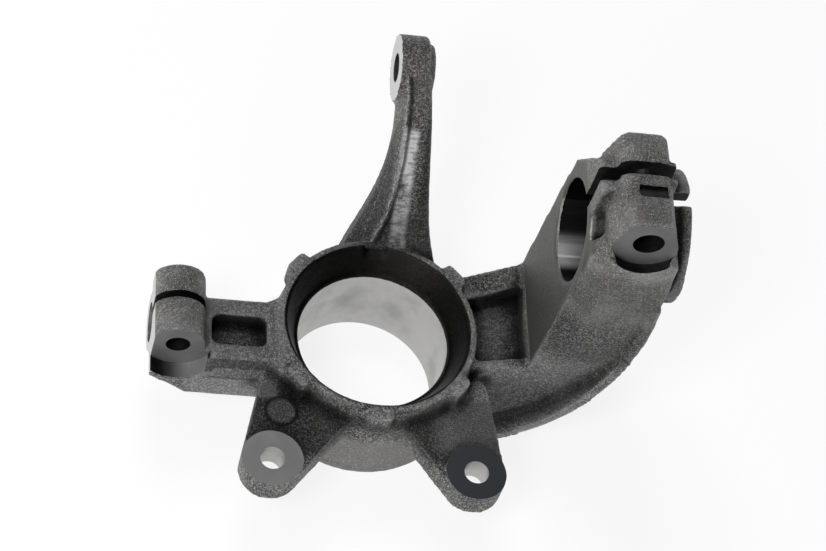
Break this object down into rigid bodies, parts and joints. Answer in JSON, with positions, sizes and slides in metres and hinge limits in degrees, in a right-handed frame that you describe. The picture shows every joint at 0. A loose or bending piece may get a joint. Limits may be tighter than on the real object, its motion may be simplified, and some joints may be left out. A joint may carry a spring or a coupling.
{
  "type": "steering knuckle",
  "caption": "Cast iron front steering knuckle with a hub bore, strut clamp, ball joint clamp, steering arm and caliper ears.",
  "frame": {"origin": "centre of the wheel bearing bore, in the plane of the hub barrel's outboard face", "axes": "+Z along the bearing bore towards the inboard side, +X towards the strut clamp, +Y towards the tie rod end"},
  "size_m": [0.2517, 0.2305, 0.1975],
  "materials": {
    "cast_iron": "dark sand-cast skin, with machined bores and seats left bright"
  },
  "bodies": {
    "root": {"steering_knuckle": "cast_iron"}
  },
  "joints": []
}
